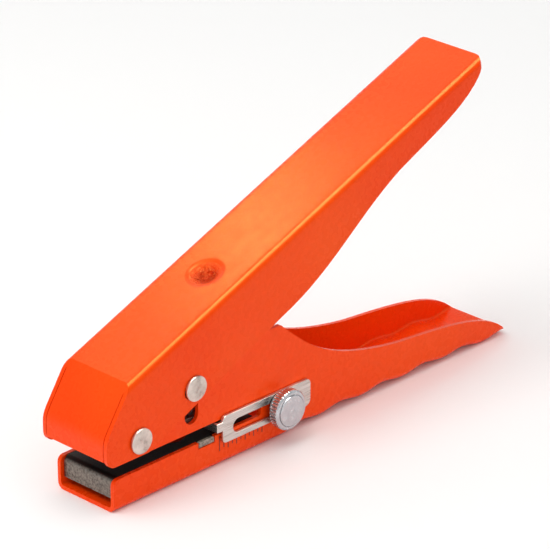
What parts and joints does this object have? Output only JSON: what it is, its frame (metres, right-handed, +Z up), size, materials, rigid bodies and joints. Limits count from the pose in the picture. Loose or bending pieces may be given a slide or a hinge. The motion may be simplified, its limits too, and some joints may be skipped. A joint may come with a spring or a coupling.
{
  "type": "hand punch plier",
  "caption": "Hand punch plier for thin sheet: orange folded-steel frame and lever, round punch and die, slotted depth gauge with a knurled thumb nut",
  "frame": {"origin": "on the punch axis, in the flat underside of the lower jaw", "axes": "+X runs from the punch back towards the handles, +Z is up from the lower jaw to the lever, -Y is the side with the gauge plate and thumb nut"},
  "size_m": [0.1968, 0.0374, 0.1116],
  "materials": {
    "orange_frame": "smooth satin powder coat",
    "orange_lever": "smooth satin powder coat",
    "nickel_pins": "pale nickel plate, satin",
    "nickel_plate": "pale nickel plate, brushed",
    "bright_zinc": "bright zinc plate, turned",
    "dark_steel": "grainy grey blank steel, worn at the front bend",
    "plain_steel": "plain bright steel",
    "tool_steel": "ground hardened steel",
    "spring_steel": "drawn spring wire"
  },
  "bodies": {
    "frame": {"lower_frame": "orange_frame", "pivot_rivet": "nickel_pins", "pivot_sleeve": "plain_steel", "guide_bracket": "plain_steel", "punch_bush": "tool_steel", "die_plate": "dark_steel", "spring_post": "plain_steel", "gauge_stud": "plain_steel", "clamp_washer": "bright_zinc", "return_spring": "spring_steel"},
    "lever": {"lever": "orange_lever"},
    "ram": {"punch": "tool_steel", "drive_pin": "nickel_pins", "slide_bush_near": "plain_steel", "slide_bush_far": "plain_steel"},
    "gauge": {"gauge_plate": "nickel_plate"},
    "nut": {"thumb_nut": "bright_zinc"}
  },
  "joints": [
    {"name": "lever_swing", "type": "hinge", "parent": "frame", "child": "lever", "pos_m": [-0.0249, 0, 0.0236], "axis": [0, 1, 0], "range_deg": [0, 20], "stiffness_Nm_per_rad": 3, "springref_deg": -28.65, "deforming": ["return_spring"]},
    {"name": "ram_slide", "type": "slide", "parent": "frame", "child": "ram", "axis": [0, 0, -1], "range_m": [0, 0.0093]},
    {"name": "gauge_slide", "type": "slide", "parent": "frame", "child": "gauge", "axis": [1, 0, 0], "range_m": [-0.001, 0.0185]},
    {"name": "nut_turn", "type": "hinge", "parent": "frame", "child": "nut", "pos_m": [0.0402, 0, 0.013], "axis": [0, -1, 0], "range_deg": [0, 360]}
  ],
  "couplings": [
    {"joint": "ram_slide", "follows": "lever_swing", "m_per_rad": 0.0264}
  ]
}
